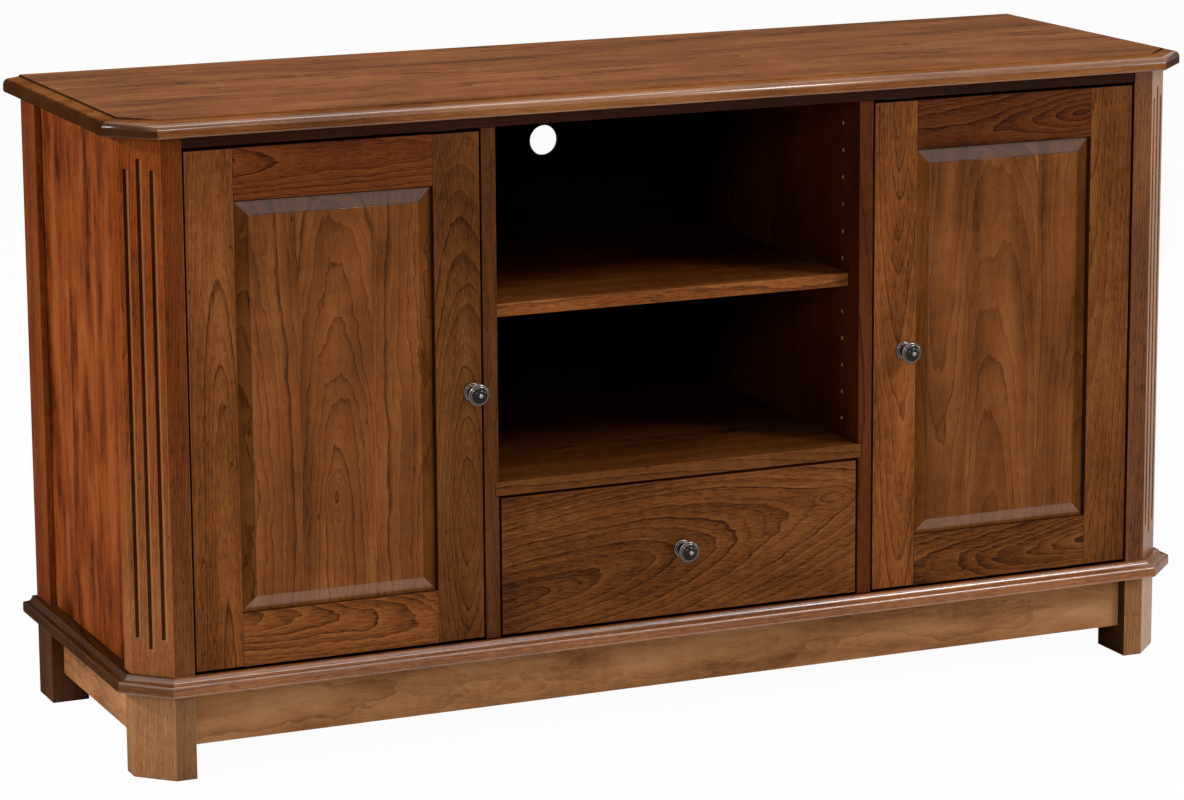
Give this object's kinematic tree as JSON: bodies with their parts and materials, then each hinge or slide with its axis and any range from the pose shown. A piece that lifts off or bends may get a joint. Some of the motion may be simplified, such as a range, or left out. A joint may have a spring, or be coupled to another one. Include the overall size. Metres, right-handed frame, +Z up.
{
  "type": "tv console",
  "caption": "Stained cherry TV console: raised-panel doors beside an open bay with a shelf over a drawer, clipped fluted corner posts, moulded top and base.",
  "frame": {"origin": "on the floor, under the middle of the console's bounding box", "axes": "+X to the right as seen from the front, +Y to the back, +Z up; the doors face -Y"},
  "size_m": [1.524, 0.5028, 0.838],
  "materials": {
    "cherry": "stained cherry under satin lacquer",
    "cherry_top": "stained cherry under satin lacquer, grain along the width",
    "inside_wood": "dark stained plywood",
    "drawer_wood": "clear-lacquered pale hardwood",
    "pewter": "antique pewter over cast zinc, edges rubbed bright",
    "steel": "zinc-plated steel",
    "catch_plastic": "brown moulded plastic round a magnet"
  },
  "bodies": {
    "case": {"top_panel": "cherry_top", "front_left_post": "cherry", "front_right_post": "cherry", "back_left_post": "cherry", "back_right_post": "cherry", "left_side_panel": "cherry", "right_side_panel": "cherry", "top_front_rail": "cherry", "left_partition": "cherry", "right_partition": "cherry", "bay_floor": "cherry", "front_apron": "cherry", "back_apron": "cherry", "left_apron": "cherry", "right_apron": "cherry", "front_moulding": "cherry", "left_corner_moulding": "cherry", "right_corner_moulding": "cherry", "left_moulding": "cherry", "right_moulding": "cherry", "centre_shelf": "cherry", "left_door_top_pivot": "steel", "left_door_bottom_pivot": "steel", "left_front_shelf_pin": "steel", "left_rear_shelf_pin": "steel", "left_slide_outer": "steel", "left_door_catch": "catch_plastic", "right_door_top_pivot": "steel", "right_door_bottom_pivot": "steel", "right_front_shelf_pin": "steel", "right_rear_shelf_pin": "steel", "right_slide_outer": "steel", "right_door_catch": "catch_plastic", "top_back_rail": "inside_wood", "cabinet_floor": "inside_wood", "back_panel": "inside_wood"},
    "left_door": {"left_door_hinge_stile": "cherry", "left_door_knob_stile": "cherry", "left_door_top_rail": "cherry", "left_door_bottom_rail": "cherry", "left_door_panel": "cherry", "left_door_knob": "pewter"},
    "right_door": {"right_door_hinge_stile": "cherry", "right_door_knob_stile": "cherry", "right_door_top_rail": "cherry", "right_door_bottom_rail": "cherry", "right_door_panel": "cherry", "right_door_knob": "pewter"},
    "drawer": {"drawer_front": "cherry", "drawer_left_side": "drawer_wood", "drawer_right_side": "drawer_wood", "drawer_back": "drawer_wood", "drawer_bottom": "drawer_wood", "drawer_knob": "pewter", "left_slide_inner": "steel", "right_slide_inner": "steel"},
    "slide_middles": {"left_slide_middle": "steel", "right_slide_middle": "steel"}
  },
  "joints": [
    {"name": "left_door_hinge", "type": "hinge", "parent": "case", "child": "left_door", "pos_m": [-0.659, -0.2136, 0.138], "axis": [0, 0, -1], "range_deg": [0, 105]},
    {"name": "right_door_hinge", "type": "hinge", "parent": "case", "child": "right_door", "pos_m": [0.659, -0.2136, 0.138], "axis": [0, 0, 1], "range_deg": [0, 105]},
    {"name": "drawer_slide", "type": "slide", "parent": "case", "child": "drawer", "axis": [0, -1, 0], "range_m": [0, 0.34]},
    {"name": "slide_middle_travel", "type": "slide", "parent": "case", "child": "slide_middles", "axis": [0, -1, 0], "range_m": [0, 0.17]}
  ],
  "couplings": [
    {"joint": "slide_middle_travel", "follows": "drawer_slide", "ratio": 0.5}
  ]
}
